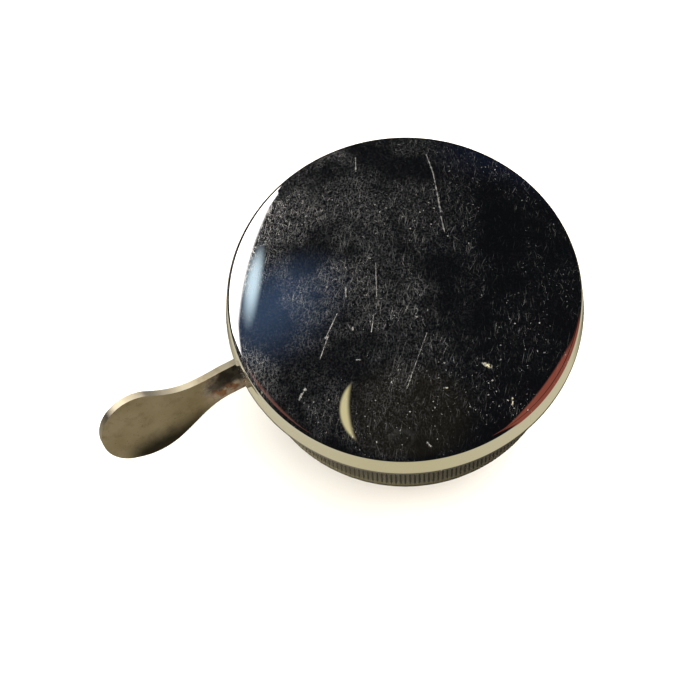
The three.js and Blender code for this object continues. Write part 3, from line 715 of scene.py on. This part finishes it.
def put_table(room):
    """The pale table, up to a slanting edge, darker beyond the bell and in the bell's own shadow."""
    aside, _, tall = room.parts()
    slant = room.vector("DOT_PRODUCT", room.place, (0, 0.28, 1))
    beyond = room.span(room.vector("DOT_PRODUCT", room.place, (0, 1, 0.35)), 0.12, 0.3, smooth=True)
    cream = room.mix(room.span(aside, -0.9, -0.2), TABLE_LEFT, TABLE_MIDDLE)
    cream = room.mix(room.span(aside, 0.1, 0.8), cream, TABLE_RIGHT)
    shadow = room.mix(room.span(aside, -0.45, 0.35), SHADOW_LEFT, SHADOW_RIGHT)
    cream = room.mix(room.span(tall, -0.885, -0.905), cream, shadow)
    room.put(room.span(slant, -0.15, -0.25, smooth=True), room.mix(beyond, cream, TABLE_BEYOND))


def put_wood(room):
    """Brown wood to the right with a dark joint in it, and a strip of it low at the left."""
    rise = room.slanted(RIGHT, BACK, UP)
    wood = room.times(room.panel(RIGHT, BACK, UP, (-0.82, 0.22), (-0.30, 2.2), 0.09),
                      room.span(rise, 1.40, 1.34, smooth=True))
    joint = room.times(room.span(rise, 0.55, 0.65), room.span(rise, 1.02, 0.92))
    room.put(wood, room.mix(joint, WOOD, WOOD_JOINT))
    rise = room.slanted(LEFT, BACK, UP)
    strip = room.panel(LEFT, BACK, UP, (-0.60, 0.12), (0.8, 2.6), 0.06)
    room.put(room.times(strip, room.span(rise, 0.98, 1.03), room.span(rise, 1.33, 1.28)), WOOD_STRIP)


def put_moon(room):
    """A round thing overhead that is lit on one side, and a faint ring beside it."""
    disc = room.disc(UP, RIGHT, BACK, (-0.141, -0.17), (0.169, 0.169), 0.05)
    inner = room.disc(UP, RIGHT, BACK, (0.217, -0.17), (0.487, 0.487), 0.025)
    glow = room.disc(UP, RIGHT, BACK, (0.0, -0.2), (0.28, 0.22), 0.3)
    room.put(room.times(inner, glow), MOON_DARK)
    room.put(room.times(disc, room.rest_of(inner)), MOON_LIT)
    ring = room.math("SUBTRACT", room.disc(UP, RIGHT, BACK, (-0.03, -0.30), (0.058, 0.045), 0.2),
                     room.disc(UP, RIGHT, BACK, (-0.03, -0.31), (0.045, 0.032), 0.2), clamp=True)
    room.put(room.times(ring, 0.8), RING_GREY)


def make_surroundings():
    room = Surroundings()
    # haze of the sky overhead at the left, and a faint glow beyond the bell
    room.put(room.disc(UP, RIGHT, BACK, (-0.72, 0.45), (0.28, 0.22), 0.9), SKY_HAZE)
    room.put(room.panel(BACK, RIGHT, UP, (0.2, 0.75), (0.05, 0.55), 0.15), BACK_GLOW)
    put_table(room)
    # the window, and the sky seen through the haze above it
    room.put(room.panel(LEFT, BACK, UP, (0.22, 1.85), (0.28, 1.06), 0.03), WINDOW)
    room.put(room.disc(LEFT, BACK, UP, (0.80, 1.18), (0.24, 0.075), 0.75), SKY)
    put_wood(room)
    put_moon(room)
    room.feed(room.background.inputs[0], room.light)
    room.background.inputs[1].default_value = 1.0
    bpy.context.scene.world = room.world


def make_lights():
    area_light("overhead", (0.1, -0.05, 0.8), 0.9, 22, (1, 0.99, 0.97))
    area_light("fill", (-0.5, -0.5, 0.35), 0.5, 2.5, (1, 0.98, 0.95))


def make_camera():
    elevation = math.radians(VIEW_ELEVATION)
    forward = Vector((0, math.cos(elevation), -math.sin(elevation)))
    right = Vector((1, 0, 0))
    up = right.cross(forward)
    roll = math.radians(VIEW_ROLL)
    right, up = right * math.cos(roll) - up * math.sin(roll), right * math.sin(roll) + up * math.cos(roll)
    edge = Vector((0, 0, APEX_Z - EDGE_DROP))
    place = edge - forward * VIEW_DISTANCE
    aside, above = EDGE_OFFSET
    aim = (edge - right * aside - up * above - place).normalized()
    right = (right - aim * right.dot(aim)).normalized()
    up = right.cross(aim)
    data = bpy.data.cameras.new("camera")
    data.sensor_width = SENSOR
    data.lens = SENSOR * VIEW_DISTANCE / VIEW_WIDTH
    data.clip_start, data.clip_end = 0.01, 20
    camera = bpy.data.objects.new("camera", data)
    bpy.context.scene.collection.objects.link(camera)
    camera.matrix_world = Matrix.Translation(place) @ Matrix((
        (right.x, up.x, -aim.x), (right.y, up.y, -aim.y), (right.z, up.z, -aim.z))).to_4x4()
    bpy.context.scene.camera = camera


def main():
    make_camera()
    make_surroundings()
    make_lights()
    make_floor()
    bpy.context.scene.view_settings.view_transform = "Standard"
    materials = make_materials()
    make_dome(materials)
    make_cup(materials)
    finish_cad_nodes(materials)


main()
